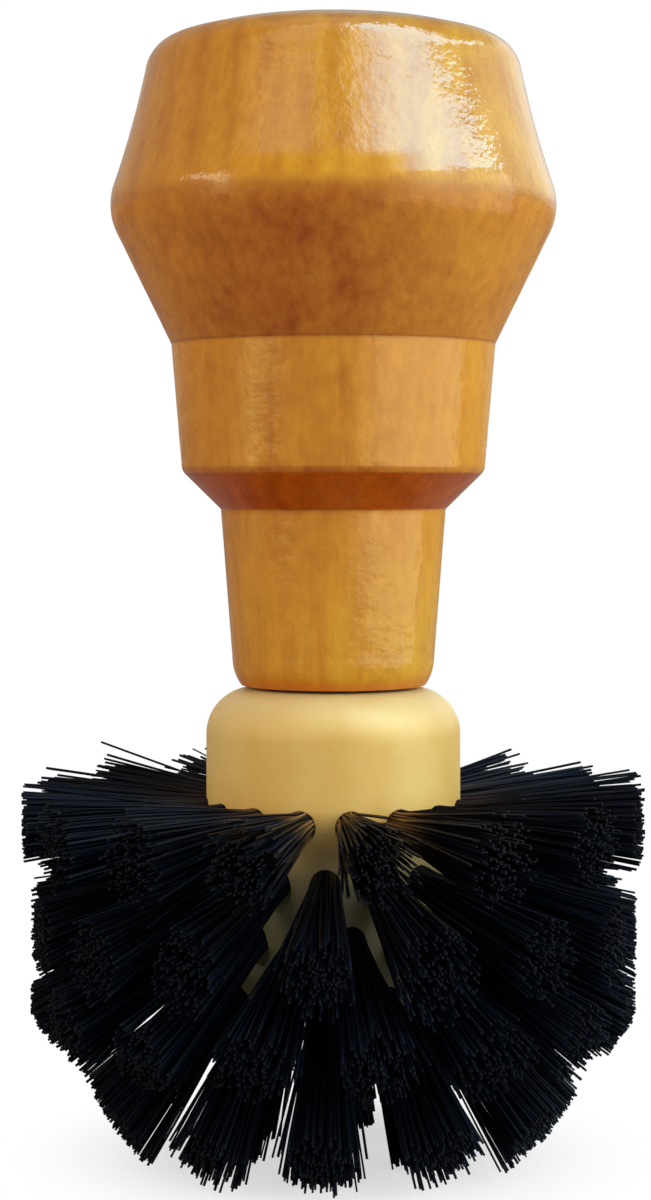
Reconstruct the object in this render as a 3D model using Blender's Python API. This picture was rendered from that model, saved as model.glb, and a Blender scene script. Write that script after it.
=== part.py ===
"""Portafilter brush: a turned palm-knob handle, an ivory head block and tufts of stiff bristle set in drilled holes.

Lengths are in metres and angles in degrees. +Z runs up the handle, and the lowest bristles end on the plane Z = 0.
"""

import bpy
import bmesh
import numpy as np
from mathutils import Matrix, Vector

# Head block: a cylinder with a rounded shoulder and a rounded lower end, above the floor by the end bristles
HEAD_RADIUS = 0.0127
HEAD_LENGTH = 0.0320
HEAD_CLEAR_OF_FLOOR = 0.0149
SHOULDER_RADIUS = 0.0046
END_RADIUS = 0.0078
END_SLICE = 0.0051
SLICE_GAP = 0.0003

# Handle: the rises from its foot to its top, and the radii there
FOOT_GAP = 0.0003
FOOT_RADIUS = 0.0092
HEEL_RADIUS = 0.0101
HEEL_RISE = 0.0030
HEEL_PULL_SHARE = 0.4
TAPER_RISE = 0.0175
WAIST_RADIUS = 0.0112
CHAMFER_RISE = 0.0038
COLLAR_RADIUS = 0.01505
COLLAR_ROUNDING = 0.0012
NECK_RISE = 0.0126
STEP_RADIUS = 0.0161
RIM_RISE = 0.0132
RIM_RADIUS = 0.02255
RIM_ROUNDING = 0.0060
BOW_RISE = 0.0080
BOW_RADIUS = 0.01975
EDGE_RISE = 0.0081
EDGE_RADIUS = 0.01805
EDGE_ROUNDING = 0.0037
CROWN_RISE = 0.0016
TOP_FLAT_RADIUS = 0.0120

# Dowel screw, and the blind bores that hold it
SCREW_RADIUS = 0.0030
SCREW_SINK = 0.0125
SCREW_REACH = 0.0175
SCREW_CHAMFER = 0.0007
SCREW_CLEARANCE = 0.0003
DRILL_POINT = 0.0016

# Tuft holes and roots
HOLE_DEPTH = 0.0036
HOLE_WALL = 0.00055
ROOT_CLEARANCE = 0.0003
ROOT_STAND = 0.0004
FUSED_ROOT = 0.0012
STRAND_INSET = 0.00013
TIP_SHARE = 0.62
CUT_DEPTH = 0.0005

# Side rings: tufts, height of the roots above the block's end, fall below level, free length, reach of the outer
# tips from the tuft's middle, and the turn of the first tuft as a share of the step between tufts
SIDE_RINGS = {
    "upper": dict(count=16, height=0.0195, fall=2.5, length=0.0184, fan=0.0036, turn_share=0.34),
    "middle": dict(count=16, height=0.0139, fall=18.0, length=0.0180, fan=0.0036, turn_share=-0.16),
    "lower": dict(count=16, height=0.0083, fall=28.0, length=0.0176, fan=0.0036, turn_share=0.34),
}
# End rings: the corner ring has its roots on the rounded edge, the others under the flat end
CORNER_RING = dict(count=12, slope=42.0, fall=48.0, length=0.0174, fan=0.0038, turn_share=-0.12)
END_RING = dict(count=6, reach=0.0056, fall=69.0, fan=0.0034, turn_share=0.42)
END_CENTRE = dict(count=1, reach=0.0, fall=90.0, fan=0.0028, turn_share=0.0)

# Facets
LATHE_SIDES = 48
HOLE_SIDES = 10
STRANDS = 7
ARC_STEP = 15.0
BOW_STEPS = 5
SHARP_ANGLE = 32.0
OVERRUN = 0.0010

# Heights that follow from the sizes above
HEAD_BOTTOM = HEAD_CLEAR_OF_FLOOR
HEAD_TOP = HEAD_BOTTOM + HEAD_LENGTH
SLICE_TOP = HEAD_BOTTOM + END_SLICE
MOST_TUFTS = max(ring["count"] for ring in SIDE_RINGS.values())
HOLE_RADIUS = (HEAD_RADIUS - HOLE_DEPTH) * np.sin(np.pi / MOST_TUFTS) - HOLE_WALL / 2
ROOT_RADIUS = HOLE_RADIUS - ROOT_CLEARANCE


def clear_scene():
    for old in list(bpy.data.objects):
        bpy.data.objects.remove(old, do_unlink=True)


def finish(name, colour, roughness, metallic=0.0, coat=0.0):
    made = bpy.data.materials.new(name)
    made.use_nodes = True
    shader = made.node_tree.nodes["Principled BSDF"]
    shader.inputs["Base Color"].default_value = (*colour, 1.0)
    shader.inputs["Roughness"].default_value = roughness
    shader.inputs["Metallic"].default_value = metallic
    shader.inputs["Coat Weight"].default_value = coat
    made.diffuse_color = (*colour, 1.0)
    return made


def add_object(name, mesh, material, parent):
    placed = bpy.data.objects.new(name, mesh)
    if not mesh.materials:
        mesh.materials.append(material)
    bpy.context.scene.collection.objects.link(placed)
    placed.parent = parent
    return placed


def add_cutter(name, shape):
    """A hidden object that a Boolean reads."""
    mesh = bpy.data.meshes.new(name)
    shape.to_mesh(mesh)
    shape.free()
    cutter = bpy.data.objects.new(name, mesh)
    bpy.context.scene.collection.objects.link(cutter)
    cutter.hide_render = True
    cutter.display_type = "WIRE"
    return cutter


def boolean(target, operation, other):
    modifier = target.modifiers.new(operation.lower(), "BOOLEAN")
    modifier.operation = operation
    modifier.solver = "EXACT"
    modifier.object = other


def arc(centre, radii, start, end):
    """Points (r, z) round a centre, from one angle to another, with a radius along r and one along z."""
    steps = max(2, round(abs(end - start) / ARC_STEP))
    angles = np.radians(np.linspace(start, end, steps + 1))
    return [(centre[0] + radii[0] * np.cos(a), centre[1] + radii[1] * np.sin(a)) for a in angles]


def round_corner(before, corner, after, radius):
    """An arc of this radius in place of a corner of the outline, touching both of the corner's sides."""
    before, corner, after = (np.array(point) for point in (before, corner, after))
    back = (before - corner) / np.linalg.norm(before - corner)
    ahead = (after - corner) / np.linalg.norm(after - corner)
    half = np.arccos(back @ ahead) / 2
    middle = (back + ahead) / np.linalg.norm(back + ahead)
    centre = corner + middle * radius / np.sin(half)
    start = corner + back * radius / np.tan(half) - centre
    end = corner + ahead * radius / np.tan(half) - centre
    first = np.degrees(np.arctan2(start[1], start[0]))
    turn = np.degrees(np.arctan2(end[1], end[0])) - first
    return arc(centre, (radius, radius), first, first + (turn + 180) % 360 - 180)


def bowed(start, pull, end):
    """Points between start and end on the curve that leaves and arrives along its lines to a third point."""
    start, pull, end = (np.array(point) for point in (start, pull, end))
    shares = np.linspace(0, 1, BOW_STEPS + 1)[1:-1]
    return [(1 - s) ** 2 * start + 2 * s * (1 - s) * pull + s**2 * end for s in shares]


def lathe(name, outline):
    """A closed solid turned about Z from points (r, z) that start and end on the axis."""
    shape = bmesh.new()
    points = [shape.verts.new((r, 0, z)) for r, z in outline]
    edges = [shape.edges.new(pair) for pair in zip(points, points[1:])]
    bmesh.ops.spin(
        shape,
        geom=points + edges,
        cent=(0, 0, 0),
        axis=(0, 0, 1),
        angle=2 * np.pi,
        steps=LATHE_SIDES,
        use_merge=True,
    )
    bmesh.ops.remove_doubles(shape, verts=shape.verts, dist=HEAD_RADIUS / 10000)
    bmesh.ops.recalc_face_normals(shape, faces=shape.faces)
    mesh = bpy.data.meshes.new(name)
    shape.to_mesh(mesh)
    shape.free()
    mesh.shade_smooth()
    mesh.set_sharp_from_angle(angle=np.radians(SHARP_ANGLE))
    return mesh


def blind_bore(mouth, depth):
    """The screw's bore from its mouth to its drill point. A depth below zero runs down."""
    radius = SCREW_RADIUS + SCREW_CLEARANCE
    floor = mouth + depth
    return [(radius, mouth), (radius, floor), (0, floor + np.sign(depth) * DRILL_POINT)]


def handle_outline():
    """From the middle of the top down the outside to the foot, then up the bore."""
    foot = HEAD_TOP + FOOT_GAP
    waist = (WAIST_RADIUS, foot + TAPER_RISE)
    collar = (COLLAR_RADIUS, waist[1] + CHAMFER_RISE)
    step = (STEP_RADIUS, collar[1] + NECK_RISE)
    rim = (RIM_RADIUS, step[1] + RIM_RISE)
    bow = (BOW_RADIUS, rim[1] + BOW_RISE)
    edge = (EDGE_RADIUS, bow[1] + EDGE_RISE)
    top_flat = (TOP_FLAT_RADIUS, edge[1] + CROWN_RISE)
    heel = (HEEL_RADIUS, foot + HEEL_RISE)
    heel_pull = (HEEL_RADIUS, foot + HEEL_RISE * HEEL_PULL_SHARE)
    sole = (FOOT_RADIUS, foot)
    top_edge = round_corner(top_flat, edge, bow, EDGE_ROUNDING)
    rim_edge = round_corner(bow, rim, step, RIM_ROUNDING)
    bore = blind_bore(foot, SCREW_REACH)
    return (
        [(0, top_flat[1]), top_flat]
        + top_edge
        + bowed(top_edge[-1], bow, rim_edge[0])
        + rim_edge
        + [step]
        + round_corner(step, collar, waist, COLLAR_ROUNDING)
        + [waist]
        + [heel]
        + bowed(heel, heel_pull, sole)
        + [sole]
        + bore
    )


def end_corner(angle):
    """The point (r, z) of the block's rounded lower edge that faces this many degrees below level."""
    turn = np.radians(angle)
    radius = HEAD_RADIUS - END_RADIUS + END_RADIUS * np.cos(turn)
    return radius, HEAD_BOTTOM + END_RADIUS - END_RADIUS * np.sin(turn)


def corner_angle(height):
    """Degrees below level that the rounded edge faces at this height."""
    rise = min(max((HEAD_BOTTOM + END_RADIUS - height) / END_RADIUS, 0), 1)
    return np.degrees(np.arcsin(rise))


def corner_arc(start, end):
    steps = max(2, round(abs(end - start) / ARC_STEP))
    return [end_corner(angle) for angle in np.linspace(start, end, steps + 1)]


def head_outline():
    """From the point of the screw's bore, over the shoulder and down to the slice line."""
    foot = SLICE_TOP + SLICE_GAP
    shoulder = (HEAD_RADIUS - SHOULDER_RADIUS, HEAD_TOP - SHOULDER_RADIUS)
    return (
        blind_bore(HEAD_TOP, -SCREW_SINK)[::-1]
        + arc(shoulder, (SHOULDER_RADIUS, SHOULDER_RADIUS), 90, 0)
        + corner_arc(0, corner_angle(foot))
        + [(0, foot)]
    )


def end_outline():
    """The rounded end below the slice line."""
    return [(0, SLICE_TOP)] + corner_arc(corner_angle(SLICE_TOP), 90) + [(0, HEAD_BOTTOM)]


def screw_outline():
    foot = HEAD_TOP - SCREW_SINK + SCREW_CLEARANCE
    top = HEAD_TOP + FOOT_GAP + SCREW_REACH - SCREW_CLEARANCE
    return [
        (0, top),
        (SCREW_RADIUS - SCREW_CHAMFER, top),
        (SCREW_RADIUS, top - SCREW_CHAMFER),
        (SCREW_RADIUS, foot + SCREW_CHAMFER),
        (SCREW_RADIUS - SCREW_CHAMFER, foot),
        (0, foot),
    ]


def seat(ring, index):
    """Where a tuft leaves the block: the origin is on the surface, and +Z points out along the tuft."""
    if "height" in ring:
        place = (HEAD_RADIUS, 0, HEAD_BOTTOM + ring["height"])
    elif "slope" in ring:
        radius, height = end_corner(ring["slope"])
        place = (radius, 0, height)
    else:
        place = (ring["reach"], 0, HEAD_BOTTOM)
    bearing = Matrix.Rotation(2 * np.pi * (index + ring["turn_share"]) / ring["count"], 4, "Z")
    return bearing @ Matrix.Translation(place) @ Matrix.Rotation(np.radians(90 + ring["fall"]), 4, "Y")


def free_length(ring):
    """A tuft's own length, or for one that ends on the floor, as far as puts its lowest tip the cut's depth below."""
    if "length" in ring:
        return ring["length"]
    fall = np.radians(ring["fall"])
    return (HEAD_BOTTOM + CUT_DEPTH - ring["fan"] * np.cos(fall)) / np.sin(fall)


def add_tuft(shape, ring, root, place):
    """A root plug whose face is a fan of triangles, each drawn out into a strand that leans away from the middle."""
    angles = np.arange(STRANDS) * 2 * np.pi / STRANDS
    rim = [(ROOT_RADIUS * np.cos(a), ROOT_RADIUS * np.sin(a)) for a in angles]
    bottom = [shape.verts.new((x, y, -root)) for x, y in rim]
    mouth = [shape.verts.new((x, y, ROOT_STAND)) for x, y in rim]
    middle = shape.verts.new((0, 0, ROOT_STAND))
    shape.faces.new(bottom[::-1])
    fan = []
    for i, j in zip(range(STRANDS), [*range(1, STRANDS), 0]):
        shape.faces.new((bottom[i], bottom[j], mouth[j], mouth[i]))
        fan.append(shape.faces.new((mouth[i], mouth[j], middle)))
    bmesh.ops.inset_individual(shape, faces=fan, thickness=STRAND_INSET, use_even_offset=True)
    moved = set(bottom + mouth + [middle] + [vert for face in fan for vert in face.verts])
    starts = [[vert.co.copy() for vert in face.verts] for face in fan]
    tips = bmesh.ops.extrude_discrete_faces(shape, faces=fan)["faces"]
    for face in tips:
        centre = face.calc_center_median()
        target = Vector((centre.x, centre.y, 0)).normalized() * ring["fan"]
        target.z = free_length(ring)
        for vert in face.verts:
            begin = place @ vert.co
            end = place @ (target + (vert.co - centre) * TIP_SHARE)
            if end.z < 0:
                end = begin + (end - begin) * begin.z / (begin.z - end.z)
            vert.co = end
    for vert in moved:
        vert.co = place @ vert.co


def tuft_mesh(name, ring):
    """The one mesh that all tufts of a side ring share."""
    shape = bmesh.new()
    add_tuft(shape, ring, HOLE_DEPTH - ROOT_CLEARANCE, Matrix.Identity(4))
    mesh = bpy.data.meshes.new(name)
    shape.to_mesh(mesh)
    shape.free()
    return mesh


def hole_drill():
    """One drill for each hole of the side rings."""
    shape = bmesh.new()
    length = HOLE_DEPTH + OVERRUN
    for ring in SIDE_RINGS.values():
        for index in range(ring["count"]):
            bmesh.ops.create_cone(
                shape,
                cap_ends=True,
                segments=HOLE_SIDES,
                radius1=HOLE_RADIUS,
                radius2=HOLE_RADIUS,
                depth=length,
                matrix=seat(ring, index) @ Matrix.Translation((0, 0, length / 2 - HOLE_DEPTH)),
            )
    return add_cutter("hole_drill", shape)


def end_bunches():
    """The tufts of the corner ring, the end ring and the centre, sunk a little into the end slice."""
    shape = bmesh.new()
    for ring in (CORNER_RING, END_RING, END_CENTRE):
        for index in range(ring["count"]):
            add_tuft(shape, ring, FUSED_ROOT, seat(ring, index))
    return add_cutter("end_bunches", shape)


clear_scene()
brush = bpy.data.objects.new("brush", None)
bpy.context.scene.collection.objects.link(brush)

beech = finish("lacquered_beech", (0.62, 0.30, 0.085), 0.28, coat=0.6)
ivory = finish("ivory_plastic", (0.80, 0.74, 0.60), 0.38)
steel = finish("zinc_steel", (0.62, 0.63, 0.65), 0.35, metallic=1.0)
bristle = finish("black_nylon", (0.012, 0.013, 0.020), 0.45)

add_object("handle", lathe("handle", handle_outline()), beech, brush)
add_object("dowel_screw", lathe("dowel_screw", screw_outline()), steel, brush)

head_block = add_object("head_block", lathe("head_block", head_outline()), ivory, brush)
boolean(head_block, "DIFFERENCE", hole_drill())

for ring_name, side_ring in SIDE_RINGS.items():
    shared = tuft_mesh(f"{ring_name}_tuft", side_ring)
    for number in range(side_ring["count"]):
        tuft = add_object(f"{ring_name}_tuft_{number + 1:02d}", shared, bristle, brush)
        tuft.matrix_world = seat(side_ring, number)

end_tufts = add_object("end_tufts", lathe("end_tufts", end_outline()), bristle, brush)
boolean(end_tufts, "UNION", end_bunches())
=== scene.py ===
import bpy
import numpy as np
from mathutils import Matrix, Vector


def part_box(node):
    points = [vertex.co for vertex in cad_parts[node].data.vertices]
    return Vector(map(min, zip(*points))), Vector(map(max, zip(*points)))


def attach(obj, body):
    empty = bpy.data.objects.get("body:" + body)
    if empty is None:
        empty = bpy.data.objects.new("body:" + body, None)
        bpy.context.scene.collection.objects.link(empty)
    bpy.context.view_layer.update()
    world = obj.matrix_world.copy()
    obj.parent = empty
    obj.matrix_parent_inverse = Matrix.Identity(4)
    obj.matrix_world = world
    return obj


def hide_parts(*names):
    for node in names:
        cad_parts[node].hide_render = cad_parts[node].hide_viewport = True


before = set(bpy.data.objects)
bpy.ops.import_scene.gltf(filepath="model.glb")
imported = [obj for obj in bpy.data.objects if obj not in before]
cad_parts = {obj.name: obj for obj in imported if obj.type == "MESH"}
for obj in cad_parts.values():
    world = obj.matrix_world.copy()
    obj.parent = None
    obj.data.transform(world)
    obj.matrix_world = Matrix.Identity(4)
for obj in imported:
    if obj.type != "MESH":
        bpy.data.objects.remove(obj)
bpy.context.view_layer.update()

# Handle
# The palm knob is one piece of beech, turned between centres, sanded and dipped in clear honey-coloured
# lacquer. Its foot is drilled for the screw and bears on the flat of the block's shoulder.
handle_low, handle_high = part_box("handle")
FOOT_RADIUS, HEEL_RADIUS, HEEL_RISE, HEEL_PULL_SHARE = 0.0092, 0.0101, 0.0030, 0.4
WAIST_RADIUS, WAIST_RISE = 0.0112, 0.0175
COLLAR_RADIUS, COLLAR_RISE, COLLAR_ROUNDING = 0.01505, 0.0213, 0.0012
STEP_RADIUS, STEP_RISE, STEP_ROUNDING = 0.0161, 0.0339, 0.0003
RIM_RADIUS, RIM_RISE, RIM_ROUNDING = 0.02255, 0.0471, 0.0060
BOW_RADIUS, BOW_RISE = 0.01975, 0.0551
EDGE_RADIUS, EDGE_RISE, EDGE_ROUNDING = 0.01805, 0.0632, 0.0037
FLAT_RADIUS, CROWN_ROUNDING = 0.0120, 0.010
BORE_RADIUS, BORE_DEPTH, DRILL_POINT = 0.0033, 0.0175, 0.0016
ROW_STEP, HANDLE_SIDES, HANDLE_SHARP_ANGLE = 0.00045, 364, 38
ARC_POINTS, RIM_POINTS, CRISP_POINTS, CURVE_POINTS = 9, 13, 4, 40
RIPPLE_HEIGHT, RIPPLE_LENGTH, RIPPLE_LENGTHS = 0.0000042, 0.0021, (0.7, 1.6)
RIPPLE_WAVES, RIPPLE_SEED = 14, 4
HEEL_TOP, WAIST_HEIGHT = handle_low.z + HEEL_RISE, handle_low.z + WAIST_RISE
STEP_HEIGHT = handle_low.z + STEP_RISE


def arc(centre, radius, start, end, points):
    """Points (r, z) = centre + radius * (cos, sin) of an angle that goes from start to end, in degrees."""
    turn = np.radians(np.linspace(start, end, points))
    return np.stack([centre[0] + radius * np.cos(turn), centre[1] + radius * np.sin(turn)], axis=1)


def rounded(before, corner, after, radius, points=ARC_POINTS):
    """The arc of this radius that touches both sides of a corner: its centre is on the corner's bisector."""
    before, corner, after = (np.asarray(point, float) for point in (before, corner, after))
    back = (before - corner) / np.linalg.norm(before - corner)
    ahead = (after - corner) / np.linalg.norm(after - corner)
    half = np.arccos(back @ ahead) / 2
    centre = corner + (back + ahead) / np.linalg.norm(back + ahead) * radius / np.sin(half)
    start, end = (corner + side * radius / np.tan(half) - centre for side in (back, ahead))
    first, last = (np.degrees(np.arctan2(side[1], side[0])) for side in (start, end))
    return arc(centre, radius, first, first + (last - first + 180) % 360 - 180, points)


def pulled(start, pull, end):
    """A curve from start to end that leaves and arrives along the lines to a third point: the squares of the
    two shares weigh the ends, and twice their product weighs the third point. Its ends are left out."""
    share = np.linspace(0, 1, CURVE_POINTS)[1:-1, None]
    return (1 - share) ** 2 * start + 2 * share * (1 - share) * np.array(pull) + share**2 * end


def evenly(outline, step):
    """The same outline with points added at equal shares of each side, so that none is longer than step."""
    sides = outline[1:] - outline[:-1]
    counts = np.maximum(1, np.ceil(np.linalg.norm(sides, axis=1) / step)).astype(int)
    side = np.repeat(np.arange(len(sides)), counts)
    along = np.arange(counts.sum()) - np.repeat(np.cumsum(counts) - counts, counts)
    added = outline[side] + sides[side] * along[:, None] / counts[side, None]
    return np.concatenate([added, outline[-1:]])


def make_mesh(name, points, faces, sharp_angle=None):
    """A mesh object from lists of points and faces, smooth but for edges that turn by more than an angle."""
    mesh = bpy.data.meshes.new(name)
    mesh.from_pydata(points, [], faces)
    mesh.validate()
    mesh.shade_smooth()
    if sharp_angle:
        mesh.set_sharp_from_angle(angle=np.radians(sharp_angle))
    made = bpy.data.objects.new(name, mesh)
    bpy.context.scene.collection.objects.link(made)
    return made


def turned(name, outline, sides, swell=None, sharp_angle=None):
    """Point (i, j) is outline[i] turned by j steps about Z. The outline starts and ends on the axis, so its
    end rows are single points. swell(angle, height) is added to the radius."""
    turn = np.arange(sides) * 2 * np.pi / sides
    radius, height = (side[:, None] + 0 * turn for side in outline[1:-1].T)
    if swell:
        radius = radius + swell(turn[None, :], height)
    rows = np.stack([radius * np.cos(turn), radius * np.sin(turn), height], axis=2).reshape(-1, 3)
    points = np.concatenate([rows, [[0, 0, outline[0, 1]], [0, 0, outline[-1, 1]]]])
    here = np.arange(sides)
    after = (here + 1) % sides
    row = (np.arange(len(outline) - 3) * sides)[:, None]
    walls = np.stack([row + here, row + sides + here, row + sides + after, row + after], axis=2)
    last = (len(outline) - 3) * sides
    start = np.stack([here * 0 + len(rows), here, after], axis=1)
    end = np.stack([here * 0 + len(rows) + 1, last + after, last + here], axis=1)
    faces = walls.reshape(-1, 4).tolist() + start.tolist() + end.tolist()
    return make_mesh(name, points.tolist(), faces, sharp_angle)


def ripples(seed, length, height):
    """A sum of sine waves over (angle, z) whose headings, lengths and phases are drawn at random."""
    draw = np.random.default_rng(seed)
    heading = draw.uniform(0, np.pi, RIPPLE_WAVES)
    pace = 2 * np.pi / (length * draw.uniform(*RIPPLE_LENGTHS, RIPPLE_WAVES))
    phase = draw.uniform(0, 2 * np.pi, RIPPLE_WAVES)

    def swell(turn, z):
        """Each wave goes a whole number of times round the rim, so that it closes on itself."""
        total = 0
        for side, step, start in zip(heading, pace, phase):
            rounds = max(1, round(step * np.sin(side) * RIM_RADIUS))
            total = total + np.sin(rounds * turn + step * np.cos(side) * z + start)
        return total * height / np.sqrt(RIPPLE_WAVES / 2)

    return swell


class Wire:
    """A socket in a material's nodes. Arithmetic on wires and numbers adds Math nodes."""

    def __init__(self, tree, socket=None):
        self.tree = tree
        self.socket = socket

    def node(self, kind, settings, sockets, output=0):
        """Adds a node of any kind: its settings are made first, then its sockets get values or wires."""
        made = self.tree.nodes.new(kind)
        for name, value in settings.items():
            setattr(made, name, value)
        for name, value in sockets.items():
            if isinstance(value, Wire):
                self.tree.links.new(value.socket, made.inputs[name])
            else:
                made.inputs[name].default_value = value
        return Wire(self.tree, made.outputs[output]) if made.outputs else None

    def other(self, output):
        """Another output of the node that this wire comes from."""
        return Wire(self.tree, self.socket.node.outputs[output])

    def maths(self, operation, first, second=0.0):
        """A Math node on two wires or numbers."""
        return self.node("ShaderNodeMath", {"operation": operation}, {0: first, 1: second})

    def __add__(self, other):
        return self.maths("ADD", self, other)

    def __radd__(self, other):
        return self.maths("ADD", other, self)

    def __sub__(self, other):
        return self.maths("SUBTRACT", self, other)

    def __rsub__(self, other):
        return self.maths("SUBTRACT", other, self)

    def __mul__(self, other):
        return self.maths("MULTIPLY", self, other)

    def __rmul__(self, other):
        return self.maths("MULTIPLY", other, self)

    def __pow__(self, other):
        return self.maths("POWER", self, other)

    def apart(self, middle):
        """How far this value is from a middle one, on either side."""
        return self.maths("ABSOLUTE", self - middle)

    def span(self, low, high):
        """0 at low, 1 at high and smooth between, for a mask."""
        sockets = {"Value": self, "From Min": low, "From Max": high}
        return self.node("ShaderNodeMapRange", {"interpolation_type": "SMOOTHSTEP"}, sockets)

    def blend(self, first, second):
        """The first colour where this mask is 0 and the second where it is 1."""
        return self.node("ShaderNodeMix", {"data_type": "RGBA"}, {0: self, 6: first, 7: second}, 2)


def paint(red, green, blue):
    """A colour written as a paint chip's 0 to 255 values, as the shader's linear colour."""
    share = np.array([red, green, blue]) / 255
    linear = np.where(share <= 0.04045, share / 12.92, ((share + 0.055) / 1.055) ** 2.4)
    return (*linear.tolist(), 1.0)


def finish(name):
    """An empty material and the wire that starts its nodes."""
    material = bpy.data.materials.new(name)
    material.use_nodes = True
    material.node_tree.nodes.clear()
    return material, Wire(material.node_tree)


def places(start):
    """The x, y and z of each point of the piece."""
    spot = start.node("ShaderNodeTexCoord", {}, {}, "Object")
    x = start.node("ShaderNodeSeparateXYZ", {}, {"Vector": spot})
    return x, x.other("Y"), x.other("Z")


def grain(start, scale, **settings):
    """Noise on the piece's own coordinates, with a scale for each axis in waves to the metre."""
    spot = start.node("ShaderNodeTexCoord", {}, {}, "Object")
    spot = start.node("ShaderNodeMapping", {}, {"Vector": spot, "Scale": scale})
    sockets = {"Vector": spot, "Scale": 1.0, "Detail": 3.0, "Roughness": 0.55, **settings}
    return start.node("ShaderNodeTexNoise", {}, sockets, "Fac")


def carried(start, attribute):
    """A value that the mesh carries at its points."""
    return start.node("ShaderNodeAttribute", {"attribute_name": attribute}, {}, "Fac")


def relief(start, height, strength, distance):
    """A fine relief in the gloss from a height between 0 and 1 times a distance."""
    return start.node("ShaderNodeBump", {}, {"Height": height, "Strength": strength, "Distance": distance})


def skin(start, sockets):
    """A Principled shader."""
    return start.node("ShaderNodeBsdfPrincipled", {}, sockets)


def close(start, shader):
    """Puts the last shader on the surface."""
    start.node("ShaderNodeOutputMaterial", {}, {"Surface": shader})


# A pair is where a mask starts and where it is full. A slope is 0 on upright wood, 1 where it faces down.
PITH_X, PITH_Y, GROWTH_PITCH, GROWTH_DRIFT = 0.031, -0.024, 0.0034, 0.0042
SAPWOOD_AND_SIDE_LIGHT_X, SHADE_FLANK_X, SHADE_FLANK = (-0.018, 0.016), -0.003, (0.002, 0.0190)
UNDERSIDE_SLOPE, CREASE_SLOPE, RAGGED_SLOPE = (-0.16, 0.22), (0.56, 0.695), 0.34
RIM_LINE_SLOPE, RIM_LINE_REACH, RIM_LINE_RISE = 0.02, 0.17, 0.006
STEP_LINE_REACH, HEEL_BOUNCE_LIGHT_RISE = 0.00028, 0.0016
NECK_FADE = (handle_low.z + 0.0028, handle_low.z + 0.0208)
HIGHLIGHT_STRIPE_X, HIGHLIGHT_STRIPE_DRIFT, HIGHLIGHT_STRIPE_EDGE = -0.0079, 0.0006, (0.0004, 0.0019)
PORE_RELIEF, PORE_RELIEF_STRENGTH = 0.0001, 0.7
WORN_HEIGHT, WORN_REACH = handle_low.z + RIM_RISE + 0.0012, (0.0012, 0.0026)
WORN_LEFT, WORN_RIGHT = (-0.0105, -0.0085), (0.004, 0.010)
# Heartwood to the left and sapwood to the right: partly the wood's own, partly painted light, darker on the
# left and paler on the right.
HEARTWOOD_AND_SHADED_TONES = paint(160, 92, 12), paint(198, 136, 32)
SAPWOOD_AND_LIT_TONES = paint(168, 104, 18), paint(204, 156, 44)
FLECK_TONE, PORE_TONE, SHADED_FLECK_TONE = paint(140, 74, 10), paint(112, 54, 8), paint(92, 36, 2)
NECK_TONE, HIGHLIGHT_STRIPE_TONE, HEEL_BOUNCE_LIGHT_TONE = paint(224, 164, 46), paint(240, 190, 84), paint(176, 80, 12)
UNDERSIDE_SHADE_TONES = paint(126, 44, 1), paint(194, 124, 32)
CREASE_SHADE_TONES = paint(144, 52, 1), paint(182, 86, 6)
RIM_SHADE_LINE_TONE, STEP_SHADE_LINE_TONE = paint(134, 66, 10), paint(92, 40, 4)
FLECK_SHARE, PORE_SHARE, SHADED_FLECK_SHARE, SHADED_PORE_SHARE = 0.18, 0.20, 0.14, 0.24
NECK_SHARE, NECK_STREAK_SHARE, HIGHLIGHT_STRIPE_SHARE, HEEL_BOUNCE_LIGHT_SHARE = 0.45, 0.45, 0.30, 0.66
UNDERSIDE_SHADE_SHARE, RIM_LINE_SHARE, RIM_MOTTLE_SHARE, STEP_LINE_SHARE = 0.92, 0.12, 0.30, 0.32
DULL_ROUGHNESS, LACQUER_ROUGHNESS, LACQUER_IOR, UNDERSIDE_DULLNESS = 0.50, 0.11, 1.5, 0.6


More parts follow.
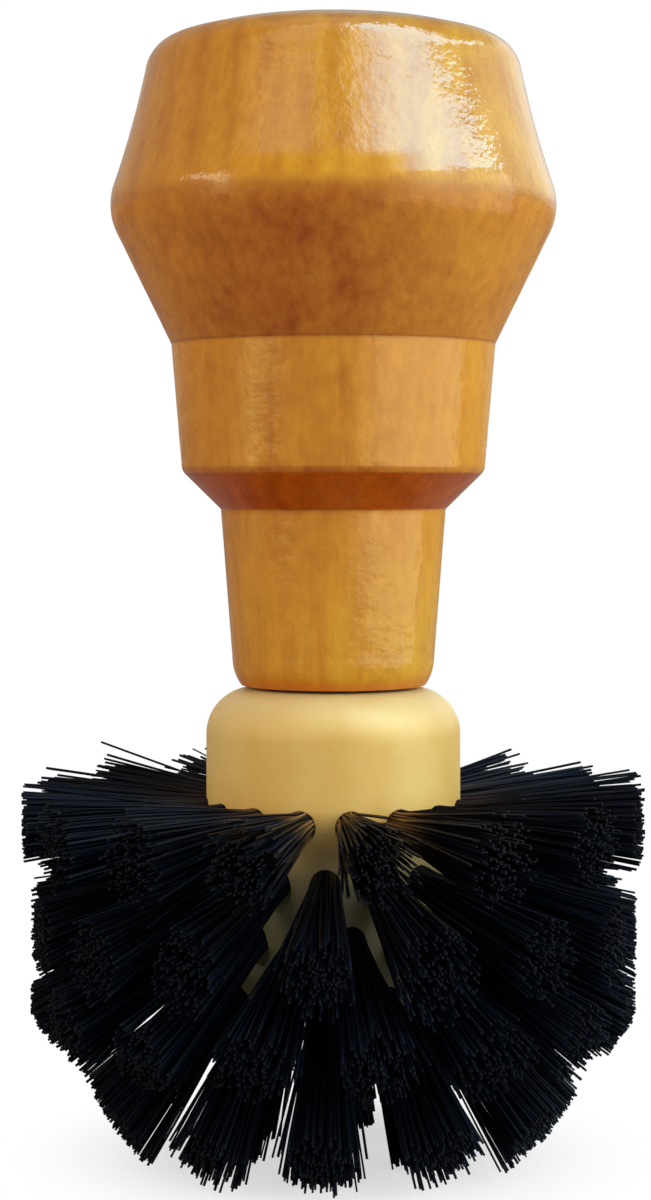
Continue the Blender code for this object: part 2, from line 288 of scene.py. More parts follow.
def lacquered_beech():
    """Growth rings are circles about a pith beside the piece. Fibres, ray flecks, pores and cloudy stain lie
    over them. The wood turns paler and yellower toward +x, partly sapwood and partly painted light from the
    right. Painted shade makes the undersides and the creases darker and redder, with the middle of the
    underside darker than its sides, and draws thin dark lines where the rim turns down and in the step. A
    paler stripe on the neck is a painted highlight, and the foot's lowest band is painted orange for light
    thrown up from the block. The lacquer is glossy, and dull where it is worn and on the undersides."""
    material, start = finish("lacquered_beech")
    x, y, z = places(start)
    drift = grain(start, (60, 60, 22), Detail=2.0)
    fibre = grain(start, (1500, 1500, 60), Detail=4.0)
    streak = grain(start, (620, 620, 34), Detail=4.0, Roughness=0.62)
    fleck = grain(start, (2600, 2600, 420), Detail=1.0).span(0.61, 0.72)
    cloud = grain(start, (230, 230, 140), Detail=5.0, Roughness=0.62)
    mottle = grain(start, (900, 900, 620), Detail=3.0)
    pore = grain(start, (1900, 1900, 1300), Detail=2.0).span(0.64, 0.74)
    wave = grain(start, (1100, 1100, 1100), Detail=2.5)
    chatter = grain(start, (330, 330, 1150), Detail=2.0)

    away, deep = x - PITH_X, y - PITH_Y
    growth = ((away * away + deep * deep) ** 0.5 + drift * GROWTH_DRIFT) * (2 * np.pi / GROWTH_PITCH)
    ring = start.maths("SINE", growth) * 0.5 + 0.5
    slope = carried(start, "underside")
    ragged = slope + (streak - 0.5) * RAGGED_SLOPE
    under = ragged.span(*UNDERSIDE_SLOPE)
    rise = z.span(HEEL_TOP, WAIST_HEIGHT)

    clouds = cloud.span(0.2, 0.8) * 0.30 + mottle.span(0.25, 0.75) * 0.22
    patch = clouds + streak.span(0.3, 0.7) * 0.28 + ring * 0.20
    # Partly sapwood, partly painted light from the right side: paler and yellower toward +x.
    sapwood_and_side_light = x.span(*SAPWOOD_AND_SIDE_LIGHT_X)
    dark, pale = (sapwood_and_side_light.blend(*tones) for tones in zip(HEARTWOOD_AND_SHADED_TONES, SAPWOOD_AND_LIT_TONES))
    tone = patch.blend(dark, pale)
    tone = (fleck * FLECK_SHARE).blend(tone, FLECK_TONE)
    tone = (pore * PORE_SHARE).blend(tone, PORE_TONE)

    neck = (1 - z.span(STEP_HEIGHT - STEP_ROUNDING, STEP_HEIGHT + STEP_ROUNDING / 3)) * z.span(*NECK_FADE)
    tone = (neck * (NECK_SHARE + streak.span(0.35, 0.65) * NECK_STREAK_SHARE)).blend(tone, NECK_TONE)
    # Painted highlight: a paler upright stripe on the left of the neck.
    highlight_stripe = 1 - (x + drift * HIGHLIGHT_STRIPE_DRIFT).apart(HIGHLIGHT_STRIPE_X).span(*HIGHLIGHT_STRIPE_EDGE)
    tone = (neck * highlight_stripe * HIGHLIGHT_STRIPE_SHARE).blend(tone, HIGHLIGHT_STRIPE_TONE)
    # Painted light: the foot's lowest band is a saturated orange that stands for light thrown up from the
    # pale block under it.
    heel = 1 - z.span(handle_low.z, handle_low.z + HEEL_BOUNCE_LIGHT_RISE)
    tone = (heel * HEEL_BOUNCE_LIGHT_SHARE).blend(tone, HEEL_BOUNCE_LIGHT_TONE)

    # Painted shade: the middle of the underside, front and back, is darker, and its sides are paler as if lit
    # from the sides, more so on the right.
    flank = x.apart(SHADE_FLANK_X).span(*SHADE_FLANK)
    painted_shade = cloud.span(0.2, 0.8) * 0.34 + mottle.span(0.25, 0.75) * 0.24 + flank * 0.50
    # Painted shade: faces that point down get these darker, redder tones, and their flecks and pores are
    # darker still.
    painted_shade = painted_shade.blend(*UNDERSIDE_SHADE_TONES)
    painted_shade = (fleck * SHADED_FLECK_SHARE + pore * SHADED_PORE_SHARE).blend(painted_shade, SHADED_FLECK_TONE)
    tone = (under * rise * UNDERSIDE_SHADE_SHARE).blend(tone, painted_shade)
    # Painted shade: the steepest undersides, in the creases, are darker and redder.
    tone = (slope.span(*CREASE_SLOPE) * rise).blend(tone, patch.blend(*CREASE_SHADE_TONES))
    # Painted shade: a thin dark ragged line where the rim turns from facing up to facing down.
    line = 1 - ragged.apart(RIM_LINE_SLOPE).span(0.0, RIM_LINE_REACH)
    line = line * z.span(STEP_HEIGHT, STEP_HEIGHT + RIM_LINE_RISE)
    tone = (line * (RIM_LINE_SHARE + mottle.span(0.35, 0.65) * RIM_MOTTLE_SHARE)).blend(tone, RIM_SHADE_LINE_TONE)
    # Painted shade: a thin dark line in the concave step.
    step = 1 - z.apart(STEP_HEIGHT).span(0.0, STEP_LINE_REACH)
    tone = (step * STEP_LINE_SHARE).blend(tone, STEP_SHADE_LINE_TONE)

    worn = (1 - z.apart(WORN_HEIGHT).span(*WORN_REACH)) * x.span(*WORN_LEFT) * (1 - x.span(*WORN_RIGHT))
    height = wave + chatter * 0.3 + fibre * 0.05 - fleck * 0.03
    both = {"Base Color": tone, "Normal": relief(start, height, PORE_RELIEF_STRENGTH, PORE_RELIEF)}
    dull = skin(start, {**both, "Roughness": DULL_ROUGHNESS + fibre * 0.1, "Specular IOR Level": 0.2})
    glossy = skin(start, {**both, "Roughness": LACQUER_ROUGHNESS + fibre * 0.02, "IOR": LACQUER_IOR})
    gloss = (1 - worn) * (1 - under * UNDERSIDE_DULLNESS)
    close(start, start.node("ShaderNodeMixShader", {}, {0: gloss, 1: dull, 2: glossy}))
    return material


def handle_outline():
    """From the middle of the top, over the crown and rim, down the cones to the foot, and up the bore."""
    base, top = handle_low.z, handle_high.z
    flat, edge, bow = (FLAT_RADIUS, top), (EDGE_RADIUS, base + EDGE_RISE), (BOW_RADIUS, base + BOW_RISE)
    rim, step = (RIM_RADIUS, base + RIM_RISE), (STEP_RADIUS, base + STEP_RISE)
    collar, waist = (COLLAR_RADIUS, base + COLLAR_RISE), (WAIST_RADIUS, base + WAIST_RISE)
    heel, sole = (HEEL_RADIUS, base + HEEL_RISE), np.array([FOOT_RADIUS, base])
    bore = [(BORE_RADIUS, base), (BORE_RADIUS, base + BORE_DEPTH), (0, base + BORE_DEPTH + DRILL_POINT)]
    upper = rounded(flat, edge, bow, EDGE_ROUNDING)
    lower = rounded(bow, rim, step, RIM_ROUNDING, RIM_POINTS)
    outside = np.concatenate(
        [
            [(0, top)],
            rounded((0, top), flat, edge, CROWN_ROUNDING),
            upper,
            pulled(upper[-1], bow, lower[0]),
            lower,
            rounded(rim, step, collar, STEP_ROUNDING, CRISP_POINTS),
            rounded(step, collar, waist, COLLAR_ROUNDING),
            rounded(collar, waist, heel, STEP_ROUNDING, CRISP_POINTS),
            [heel],
            pulled(np.array(heel), (HEEL_RADIUS, base + HEEL_RISE * HEEL_PULL_SHARE), sole),
            [sole],
        ]
    )
    return np.concatenate([evenly(outside, ROW_STEP), bore])


swell = ripples(RIPPLE_SEED, RIPPLE_LENGTH, RIPPLE_HEIGHT)
handle = turned("turned_handle", handle_outline(), HANDLE_SIDES, swell, HANDLE_SHARP_ANGLE)
normals = np.zeros(len(handle.data.vertices) * 3, np.float32)
handle.data.vertices.foreach_get("normal", normals)
underside = -normals.reshape(-1, 3)[:, 2]
handle.data.attributes.new("underside", "FLOAT", "POINT").data.foreach_set("value", underside)
handle.data.materials.append(lacquered_beech())
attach(handle, "root")
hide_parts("handle")

# Dowel screw
# A steel screw draws the foot of the handle down on to the block. It is out of sight once the brush is
# together, so its CAD solid, a plain shank without threads, stays and gets a zinc finish.
ZINC_TONES = paint(172, 176, 182), paint(206, 209, 212)


def zinc():
    """Fine spangle in the roughness over a bright blue-grey plate."""
    material, start = finish("zinc_plate")
    spangle = grain(start, (2200, 2200, 2200))
    tone = spangle.span(0.35, 0.65).blend(*ZINC_TONES)
    close(start, skin(start, {"Base Color": tone, "Metallic": 1.0, "Roughness": 0.28 + spangle * 0.2}))
    return material


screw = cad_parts["dowel_screw"]
screw.data.materials.clear()
screw.data.materials.append(zinc())

# Head block
# The ivory block is turned from one bar of plastic: a rounded shoulder under the handle, a straight side and
# a round lower end. Every tuft has a blind hole, drilled square to its own direction, with a broken edge.
HEAD_RADIUS, HEAD_TOP, HEAD_BOTTOM = 0.0127, 0.0469, 0.0149
SHOULDER_RADIUS, END_RADIUS = 0.0046, 0.0078
SCREW_SINK = 0.0125
HOLE_RADIUS, HOLE_DEPTH, HOLE_EDGE = 0.0015, 0.0036, 0.00018
DRILL_SIDES, DRILL_OVERRUN = 28, HOLE_EDGE * 5
BLOCK_ROW_STEP, BLOCK_SIDES, BLOCK_SHARP_ANGLE, ROUND_POINTS = 0.0009, 192, 34, 24
# A ring's root is its holes' distance from the axis and their rise above the block's end. Its fall is below
# the level in degrees, its fan is the spread of the tips, and its turn is a share of the way between tufts.
RINGS = {
    "upper": dict(count=16, root=(HEAD_RADIUS, 0.0195), fall=2.5, length=0.0184, fan=0.0040, turn=0.34),
    "middle": dict(count=16, root=(HEAD_RADIUS, 0.0139), fall=18.0, length=0.0180, fan=0.0038, turn=-0.16),
    "lower": dict(count=16, root=(HEAD_RADIUS, 0.0083), fall=28.0, length=0.0176, fan=0.0038, turn=0.34),
    "corner": dict(count=12, root=(0.0107, 0.00258), fall=48.0, length=0.0174, fan=0.0036, turn=-0.12),
    "end": dict(count=6, root=(0.0056, 0.0), fall=69.0, length=0.0154, fan=0.0033, turn=0.42),
    "centre": dict(count=1, root=(0.0, 0.0), fall=90.0, length=0.0154, fan=0.0027, turn=0.0),
}


def seats(ring):
    """Each tuft's place as a 4 x 4 matrix. Its third axis points out along the tuft from the block's surface:
    it lies in the upright plane at the tuft's bearing and falls below the level by the ring's angle."""
    turn = 2 * np.pi * (np.arange(ring["count"]) + ring["turn"]) / ring["count"]
    tilt = np.full(len(turn), np.radians(90 + ring["fall"]))
    radius, rise = ring["root"]
    made = np.tile(np.eye(4), (len(turn), 1, 1))
    made[:, :3, 0] = np.stack([np.cos(turn) * np.cos(tilt), np.sin(turn) * np.cos(tilt), -np.sin(tilt)], 1)
    made[:, :3, 1] = np.stack([-np.sin(turn), np.cos(turn), 0 * tilt], 1)
    made[:, :3, 2] = np.stack([np.cos(turn) * np.sin(tilt), np.sin(turn) * np.sin(tilt), np.cos(tilt)], 1)
    height = HEAD_BOTTOM + rise + 0 * turn
    made[:, :3, 3] = np.stack([radius * np.cos(turn), radius * np.sin(turn), height], 1)
    return made


def drill():
    """Closed drills for all holes. A ring of points stands at each level of the drill, wider above the mouth,
    and is carried to each seat. Flat ends close it."""
    turn = np.arange(DRILL_SIDES) * 2 * np.pi / DRILL_SIDES
    level = np.array([-HOLE_DEPTH, -HOLE_EDGE, DRILL_OVERRUN])[:, None] + 0 * turn
    wide = np.array([HOLE_RADIUS, HOLE_RADIUS, HOLE_RADIUS + HOLE_EDGE + DRILL_OVERRUN])[:, None]
    ring = np.stack([wide * np.cos(turn), wide * np.sin(turn), level, np.ones_like(level)], 2).reshape(-1, 4)
    mouths = np.concatenate([seats(tuft_ring) for tuft_ring in RINGS.values()])
    points = np.einsum("tij,pj->tpi", mouths, ring)[..., :3].reshape(-1, 3)
    here = np.arange(DRILL_SIDES)
    after = (here + 1) % DRILL_SIDES
    first = (np.arange(len(mouths)) * len(ring))[:, None, None]
    low = first + (np.arange(2) * DRILL_SIDES)[None, :, None]
    high = low + DRILL_SIDES
    walls = np.stack([low + here, low + after, high + after, high + here], -1).reshape(-1, 4)
    ends = np.concatenate([first[:, 0] + here[::-1], first[:, 0] + 2 * DRILL_SIDES + here])
    return make_mesh("hole_drill", points.tolist(), walls.tolist() + ends.tolist())


def head_outline():
    """From the point of the screw's bore, over the shoulder, down the side and round the end."""
    shoulder = (HEAD_RADIUS - SHOULDER_RADIUS, HEAD_TOP - SHOULDER_RADIUS)
    corner = (HEAD_RADIUS - END_RADIUS, HEAD_BOTTOM + END_RADIUS)
    deep = HEAD_TOP - SCREW_SINK
    return np.concatenate(
        [
            [(0, deep - DRILL_POINT), (BORE_RADIUS, deep), (BORE_RADIUS, HEAD_TOP)],
            arc(shoulder, SHOULDER_RADIUS, 90, 0, ROUND_POINTS),
            arc(corner, END_RADIUS, 0, -90, ROUND_POINTS),
            [(0, HEAD_BOTTOM)],
        ]
    )


SHOULDER_SHEEN, TUFT_SHADE_HEIGHTS = (0.0425, 0.0462), (0.0280, 0.0345)
IVORY_TONES, DUST_TONE = (paint(196, 156, 80), paint(204, 171, 102)), paint(150, 112, 60)
SHEEN_TONE, TUFT_SHADE_TONE = paint(226, 208, 160), paint(112, 104, 74)
DUST_SHARE, SHEEN_SHARE = 0.35, 0.42
LINE_RELIEF, LINE_RELIEF_STRENGTH = 0.00006, 0.10


def ivory():
    """Warm ivory plastic with faint clouds, fine turning lines round the axis and a few grains of dust. Above
    one height the shoulder is painted paler, a painted sheen, and below another the block is painted olive
    and darker, a painted shade under the tufts."""
    material, start = finish("ivory_plastic")
    cloud = grain(start, (130, 130, 90), Detail=3.0)
    line = grain(start, (20, 20, 5200), Detail=2.0)
    dust = grain(start, (2300, 2300, 2300), Detail=1.0).span(0.70, 0.78)
    height = places(start)[2]
    tone = cloud.span(0.3, 0.7).blend(*IVORY_TONES)
    tone = (dust * DUST_SHARE).blend(tone, DUST_TONE)
    # Painted sheen: the top of the shoulder is paler, as the light on it.
    tone = (height.span(*SHOULDER_SHEEN) * SHEEN_SHARE).blend(tone, SHEEN_TONE)
    # Painted shade: below the upper tufts the block is olive and darker.
    tone = (1 - height.span(*TUFT_SHADE_HEIGHTS)).blend(tone, TUFT_SHADE_TONE)
    sockets = {
        "Base Color": tone,
        "Roughness": 0.38 + line * 0.10,
        "Specular IOR Level": 0.4,
        "Subsurface Weight": 0.12,
        "Subsurface Radius": (0.0022, 0.0013, 0.0006),
        "Subsurface Scale": 1.0,
        "Normal": relief(start, line, LINE_RELIEF_STRENGTH, LINE_RELIEF),
    }
    close(start, skin(start, sockets))
    return material


solid_block = turned("solid_block", evenly(head_outline(), BLOCK_ROW_STEP), BLOCK_SIDES)
drills = drill()
cut = solid_block.modifiers.new("holes", "BOOLEAN")
cut.operation, cut.solver, cut.object = "DIFFERENCE", "EXACT", drills
bpy.context.view_layer.update()
drilled = bpy.data.meshes.new_from_object(solid_block.evaluated_get(bpy.context.evaluated_depsgraph_get()))
drilled.shade_smooth()
drilled.set_sharp_from_angle(angle=np.radians(BLOCK_SHARP_ANGLE))
drilled.materials.clear()
drilled.materials.append(ivory())
for helper in (solid_block, drills):
    bpy.data.objects.remove(helper)
block = bpy.data.objects.new("ivory_block", drilled)
bpy.context.scene.collection.objects.link(block)
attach(block, "root")
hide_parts("head_block", "end_tufts")

# Bristles
# Each tuft is a bunch of stiff black nylon, folded in two and driven into its hole, so that it fans out from
# the mouth. The tips are cut after tufting, on a lathe, to one round shape with a level end.
STRANDS, STRAND_RADIUS, STRAND_RADII = 170, 0.000125, (0.85, 1.15)
STEPS, SIDES, STRAND_SHARP_ANGLE = 6, 4, 60
ROOT_DEPTH, BUNCH_RADIUS = 0.0030, 0.00136
FAN_POWER, FAN_STRETCH, FAN_LEAN = 0.35, (0.86, 1.14), 0.0003
SHIFT, STRAY_SHARE, STRAY_TIMES, BOW = 0.10, 0.04, 2.4, 0.00035
CUT_RADIUS, CUT_WAIST, CUT_WAIST_TOP, CUT_WAIST_FALL = 0.0311, 0.0008, 0.0315, 0.006
CUT_CONE_RADIUS, CUT_CONE_SLOPE = 0.0200, 0.70
SHORTEST, LONGEST, HALVINGS, SHORTFALL = 0.3, 1.35, 18, 0.016
LOWEST = STRAND_RADIUS * 0.2
FIRST_TUFT_SEED = 20


def beyond_cut(points):
    """How far points lie outside the cut shape, a cylinder that narrows a little and a cone down to a level
    end: the greatest of the distances past the three."""
    r = np.hypot(points[..., 0], points[..., 1])
    z = points[..., 2]
    side = r + CUT_WAIST * np.clip((CUT_WAIST_TOP - z) / CUT_WAIST_FALL, 0, 1) - CUT_RADIUS
    cone = (r - CUT_CONE_RADIUS - CUT_CONE_SLOPE * z) / np.hypot(1, CUT_CONE_SLOPE)
    return np.maximum(np.maximum(side, cone), -z)


def strand_paths(ring, draw):
    """Centre lines, as an array of tuft, strand, step and xyz. A strand starts on a sunflower spiral in the
    hole and runs to the same place on a wider disc, with a small random shift, a bow, and its end where the
    cut shape is, which is found by halving."""
    mouths = seats(ring)
    shape = (len(mouths), STRANDS)
    index = np.arange(STRANDS)
    out = np.sqrt((index + 0.5) / STRANDS)
    angle = index * np.pi * (3 - np.sqrt(5)) + draw.uniform(0, 2 * np.pi, (len(mouths), 1))
    radial = np.stack([np.cos(angle), np.sin(angle)], axis=-1) * out[:, None]
    spread = radial * out[:, None] ** FAN_POWER
    stretch = draw.uniform(*FAN_STRETCH, (len(mouths), 1, 2))
    stray = np.where(draw.random(shape) < STRAY_SHARE, STRAY_TIMES, 1.0)[..., None]
    shift = draw.normal(0, SHIFT, (*shape, 2)) * stray
    tip = (spread * stretch + shift) * ring["fan"] + draw.normal(0, FAN_LEAN, (len(mouths), 1, 2))
    root = radial * BUNCH_RADIUS
    bow = draw.normal(0, BOW, (*shape, 2))

    def at(along):
        """Points at a share of the way from the mouth to the free length, below 0 in the hole."""
        free = np.clip(along, 0, None)
        side = root[:, :, None] + (tip - root)[:, :, None] * free + bow[:, :, None] * free * (free - 1)
        local = np.concatenate([side, along * ring["length"], np.ones_like(along)], axis=-1)
        return np.einsum("tij,tskj->tski", mouths, local)[..., :3]

    low = np.full((*shape, 1, 1), SHORTEST)
    high = np.full((*shape, 1, 1), LONGEST)
    for _ in range(HALVINGS):
        middle = (low + high) / 2
        outside = beyond_cut(at(middle))[..., None] > 0
        low, high = np.where(outside, low, middle), np.where(outside, middle, high)
    end = low * (1 - np.abs(draw.normal(0, SHORTFALL, (*shape, 1, 1))))
    share = np.linspace(0, 1, STEPS)[None, None, :, None]
    start = -ROOT_DEPTH / ring["length"]
    paths = at(start + (end - start) * share)
    paths[..., 2] = np.maximum(paths[..., 2], LOWEST)
    return paths


def strands(name, ring, seed):
    """A prism along each centre line: its sides lie round two directions square to the strand, and its ends
    are flat. Each point carries its share of the way along and a number of the strand's own."""
    draw = np.random.default_rng(seed)
    paths = strand_paths(ring, draw).reshape(-1, STEPS, 3)
    count = len(paths)
    heading = paths[:, -1] - paths[:, 0]
    heading /= np.linalg.norm(heading, axis=1, keepdims=True)
    aside = np.cross(heading, draw.normal(0, 1, (count, 3)))
    aside /= np.linalg.norm(aside, axis=1, keepdims=True)
    third = np.cross(heading, aside)
    turn = (np.arange(SIDES) * 2 * np.pi / SIDES)[:, None]
    thick = STRAND_RADIUS * draw.uniform(*STRAND_RADII, count)
    around = (aside[:, None] * np.cos(turn) + third[:, None] * np.sin(turn)) * thick[:, None, None]
    points = (paths[:, :, None] + around[:, None]).reshape(-1, 3)
    points[:, 2] = np.maximum(points[:, 2], 0)
    here = np.arange(SIDES)
    after = (here + 1) % SIDES
    first = (np.arange(count) * STEPS * SIDES)[:, None, None]
    low = first + (np.arange(STEPS - 1) * SIDES)[None, :, None]
    high = low + SIDES
    walls = np.stack([low + here, low + after, high + after, high + here], axis=-1).reshape(-1, 4)
    ends = np.concatenate([first[:, 0] + here[::-1], first[:, 0] + (STEPS - 1) * SIDES + here])
    made = make_mesh(name, points.tolist(), np.concatenate([walls, ends]).tolist(), STRAND_SHARP_ANGLE)
    along = np.tile(np.repeat(np.linspace(0, 1, STEPS), SIDES), count)
    own = np.repeat(draw.random(count), STEPS * SIDES)
    for attribute, values in (("along", along), ("own", own)):
        field = made.data.attributes.new(attribute, "FLOAT", "POINT")
        field.data.foreach_set("value", values.astype(np.float32))
    return made


ROOT_SHEEN_ALONG, ROOT_SHEEN_OWN, ROOT_SHEEN_HEIGHT = (0.14, 0.62), (0.40, 0.70), (0.0290, 0.0325)
FRONT_X, FRONT_Y, FRONT_SHARE = (0.006, 0.011), (-0.014, -0.008), 0.92
TIP_ALONG, TIP_SHARE = (0.985, 1.0), 0.8
BLACK_TONES = paint(5, 7, 12), paint(10, 14, 25)
ROOT_SHEEN_TONE, TIP_GLINT_TONE = paint(148, 108, 62), paint(22, 22, 27)


def black_nylon():
    """Black with a trace of navy that differs from strand to strand. The cut tips are paler, a painted glint.
    The roots of the upper tufts carry a painted warm reflection of the ivory block, most of all at the front."""
    material, start = finish("black_nylon")
    along, own = carried(start, "along"), carried(start, "own")
    x, y, z = places(start)
    # Painted reflection: warm brown light from the ivory block on the roots of the upper tufts, strongest at
    # the front.
    front = (1 - x.apart(0.0).span(*FRONT_X)) * (1 - y.span(*FRONT_Y))
    root = (1 - along.span(*ROOT_SHEEN_ALONG)) * own.span(*ROOT_SHEEN_OWN) * (front * FRONT_SHARE + (1 - FRONT_SHARE))
    tone = own.blend(*BLACK_TONES)
    tone = (root * z.span(*ROOT_SHEEN_HEIGHT)).blend(tone, ROOT_SHEEN_TONE)
    # Painted glint: the cut tips are paler, as the light they catch.
    tone = (along.span(*TIP_ALONG) * TIP_SHARE).blend(tone, TIP_GLINT_TONE)
    sockets = {"Base Color": tone, "Roughness": 0.42 + own * 0.12, "Specular IOR Level": 0.06}
    close(start, skin(start, sockets))
    return material


nylon = black_nylon()
for number, (ring_name, tuft_ring) in enumerate(RINGS.items()):
    bristles = strands(f"{ring_name}_bristles", tuft_ring, FIRST_TUFT_SEED + number)
    bristles.data.materials.append(nylon)
    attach(bristles, "root")
    if f"{ring_name}_tuft_01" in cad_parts:
        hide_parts(*[f"{ring_name}_tuft_{i + 1:02d}" for i in range(tuft_ring["count"])])
    else:
        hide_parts("end_tufts")

# Floor
# A plain pale sweep that the brush stands on, matt under it so that its shadow shows. It goes to white away
# from the brush, where the camera sees it.
FLOOR_REACH, WHITE_FROM = 6.0, (0.012, 0.034)
WHITE_NEAR, MIRRORED_SHARE = 0.62, 0.12
FLOOR_SHADE, FLOOR_SHADE_SEEN, WHITE = (0.36, 0.36, 0.36, 1), (0.96, 0.96, 0.96, 1), (1, 1, 1, 1)


def seen_by(start):
    """Three masks: straight rays from the camera, these with rays through clear stuff, and rays off gloss."""
    camera_ray = start.node("ShaderNodeLightPath", {}, {}, "Is Camera Ray")
    seen = start.maths("MAXIMUM", camera_ray, camera_ray.other("Is Transmission Ray"))
    return camera_ray, seen, camera_ray.other("Is Glossy Ray")


def pale_sweep():
    """Matt near the brush, and plain white to the camera and to reflections further off. The white's share
    grows with the distance from the axis."""
    material, start = finish("pale_sweep")
    spot = start.node("ShaderNodeTexCoord", {}, {}, "Object")
    away = start.node("ShaderNodeVectorMath", {"operation": "LENGTH"}, {0: spot}, "Value")
    camera_ray, seen, mirrored = seen_by(start)
    shade = camera_ray.blend(FLOOR_SHADE, FLOOR_SHADE_SEEN)
    matt = start.node("ShaderNodeBsdfDiffuse", {}, {"Color": shade})
    white = start.node("ShaderNodeEmission", {}, {"Color": WHITE, "Strength": 1.0})
    share = (seen + mirrored * MIRRORED_SHARE) * (away.span(*WHITE_FROM) * (1 - WHITE_NEAR) + WHITE_NEAR)
    close(start, start.node("ShaderNodeMixShader", {}, {0: share, 1: matt, 2: white}))
    return material


corners = np.array([(-1, -1, 0), (1, -1, 0), (1, 1, 0), (-1, 1, 0)]) * FLOOR_REACH
floor = make_mesh("floor", corners.tolist(), [(0, 1, 2, 3)])
floor.data.materials.append(pale_sweep())

# Background and light
# The world is plain white to the camera and lights the brush softly from all sides. Reflections see a dimmer
# room with bright panels in it, laid out by bearing, from the front toward the right, and by elevation.
# A panel's low, left, right and high edges are in degrees, each as where the edge starts and where it ends.
PANEL_TOP = (76, 82)
FRONT_PANEL = (26.0, 27.5), (0, 44), (58, 70), PANEL_TOP
SIDE_PANEL = (29.8, 31.2), (58, 70), (104, 122), PANEL_TOP
SIDE_PANEL_NOTCH_FROM, SIDE_PANEL_NOTCH_ABOVE = (82, 92), (34.5, 37.0)
LEFT_PANEL = (24, 38), (-66, -38), (-14, -6), PANEL_TOP
LOW_STREAK = (14, 17), (-84, -76), (-62, -54), (20, 24)
SIDE_GLOW = (2, 8), (88, 100), (150, 175), (28, 30.5)
CEILING_ABOVE, SOFT_FADE, AIR_TURN = (62, 70), (0, 45), (-50, 70)
COOL_LIGHT, LEFT_LIGHT, STREAK_LIGHT, GLOW_LIGHT, CEILING_LIGHT, ROOM_LIGHT = 10.8, 1.6, 4.5, 1.0, 0.5, 0.5
LOW_SOFT_LIGHT, SOFT_LIGHT_FALL = 1.02, 0.78
WARM_AIR, CLEAR_AIR, PANEL_BLUE = (1.0, 0.90, 0.76, 1), (0.95, 0.99, 1.0, 1), (0.45, 0.80, 1.0, 1)

world = bpy.data.worlds.new("studio")
world.use_nodes = True
world.node_tree.nodes.clear()
sky = Wire(world.node_tree)
way = sky.node("ShaderNodeTexCoord", {}, {}, "Generated")
east = sky.node("ShaderNodeSeparateXYZ", {}, {"Vector": way})
bearing = sky.maths("ARCTAN2", east, 0 - east.other("Y")) * (180 / np.pi)
rise = sky.maths("ARCSINE", east.other("Z")) * (180 / np.pi)


def panel(low, left, right, high):
    """A mask for a lit panel: a product of four spans, two of elevation and two of bearing."""
    return rise.span(*low) * (1 - rise.span(*high)) * bearing.span(*left) * (1 - bearing.span(*right))


notch = bearing.span(*SIDE_PANEL_NOTCH_FROM) * rise.span(*SIDE_PANEL_NOTCH_ABOVE)
cool = panel(*FRONT_PANEL) + panel(*SIDE_PANEL) * (1 - notch)
lit = cool * COOL_LIGHT + panel(*LEFT_PANEL) * LEFT_LIGHT + panel(*LOW_STREAK) * STREAK_LIGHT
lit = lit + panel(*SIDE_GLOW) * GLOW_LIGHT + rise.span(*CEILING_ABOVE) * CEILING_LIGHT + ROOM_LIGHT
soft = LOW_SOFT_LIGHT - rise.span(*SOFT_FADE) * SOFT_LIGHT_FALL
_, seen, mirrored = seen_by(sky)
strength = (1 - mirrored) * (1 - seen) * soft + mirrored * lit + seen
air = bearing.span(*AIR_TURN).blend(WARM_AIR, CLEAR_AIR)
colour = (cool * mirrored).blend(seen.blend(air, WHITE), PANEL_BLUE)
background = sky.node("ShaderNodeBackground", {}, {"Color": colour, "Strength": strength})
sky.node("ShaderNodeOutputWorld", {}, {"Surface": background})
bpy.context.scene.world = world


def facing(bearing, distance, height):
    """A point at this height, this far from the axis, at a bearing in degrees from the front toward the
    right."""
    turn = np.radians(bearing)
    return (distance * np.sin(turn), -distance * np.cos(turn), height)


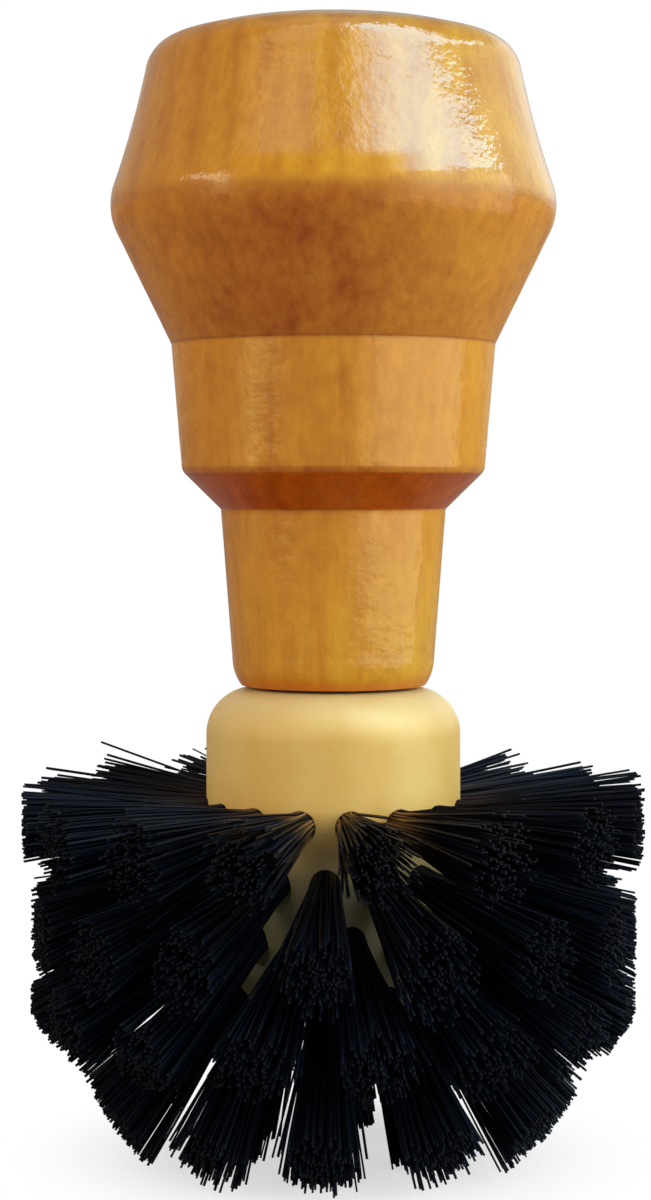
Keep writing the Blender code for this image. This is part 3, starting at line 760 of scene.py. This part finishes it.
def window(name, centre, toward, size, brightness, colour, glossy):
    """A soft rectangular light with its centre at one point, facing another. Its power is its area times its
    brightness. It lights the brush, or else only shows in its gloss."""
    lamp = bpy.data.lights.new(name, "AREA")
    lamp.shape, lamp.size, lamp.size_y = "RECTANGLE", *size
    lamp.energy, lamp.color = brightness * np.pi * size[0] * size[1], colour
    made = bpy.data.objects.new(name, lamp)
    made.visible_camera = False
    made.visible_glossy = glossy
    made.visible_diffuse = not glossy
    made.location = centre
    made.rotation_euler = (Vector(centre) - Vector(toward)).to_track_quat("Z", "Y").to_euler()
    bpy.context.scene.collection.objects.link(made)


for name, aside, distance, size, height, brightness, tint, glossy in (
    ("right_front_pane", 37, 0.70, (0.54, 0.48), 0.30, 3.7, (0.88, 1.0, 1.0), False),
    ("right_side_pane", 77, 0.70, (0.52, 0.46), 0.26, 4.8, (0.88, 1.0, 1.0), False),
    ("left_front_pane", -52, 0.70, (0.78, 0.48), 0.26, 2.6, (1.0, 0.88, 0.70), False),
    ("back_pane", 176, 0.80, (0.90, 0.50), 0.42, 1.8, (1.0, 0.98, 0.95), False),
    ("right_low_pane", 60, 0.20, (0.37, 0.20), 0.104, 0.8, (0.95, 1.0, 0.80), True),
    ("right_low_pane_inner", 64, 0.21, (0.32, 0.20), 0.104, 0.8, (0.95, 1.0, 0.80), True),
    ("right_low_pane_core", 67, 0.22, (0.28, 0.20), 0.104, 0.8, (0.95, 1.0, 0.80), True),
    ("left_low_pane", -51, 0.50, (0.23, 0.30), 0.160, 1.8, (0.95, 1.0, 0.50), True),
):
    window(name, facing(aside, distance, height), (0, 0, height), size, brightness, tint, glossy)

# Camera
# It stands 260 mm in front of the brush at the height of the handle's waist, and looks a little down. Its
# lens and tilt are written in pixels of a frame 1200 pixels tall.
VIEW_DISTANCE, VIEW_HEIGHT, VIEW_ASIDE = 0.260, 0.0671, -0.00078
FOCAL_PIXELS, FRAME_PIXELS, HORIZON_PIXELS = 2605.1, 1200, 115
SENSOR, NEAREST = 36.0, 0.01
camera = bpy.data.objects.new("camera", bpy.data.cameras.new("camera"))
camera.data.sensor_width = SENSOR
camera.data.lens = SENSOR * FOCAL_PIXELS / FRAME_PIXELS
camera.data.clip_start = NEAREST
camera.location = (VIEW_ASIDE, -VIEW_DISTANCE, VIEW_HEIGHT)
camera.rotation_euler = (np.pi / 2 - np.arctan(HORIZON_PIXELS / FOCAL_PIXELS), 0, 0)
bpy.context.scene.collection.objects.link(camera)
bpy.context.scene.camera = camera
bpy.context.scene.view_settings.view_transform = "Standard"
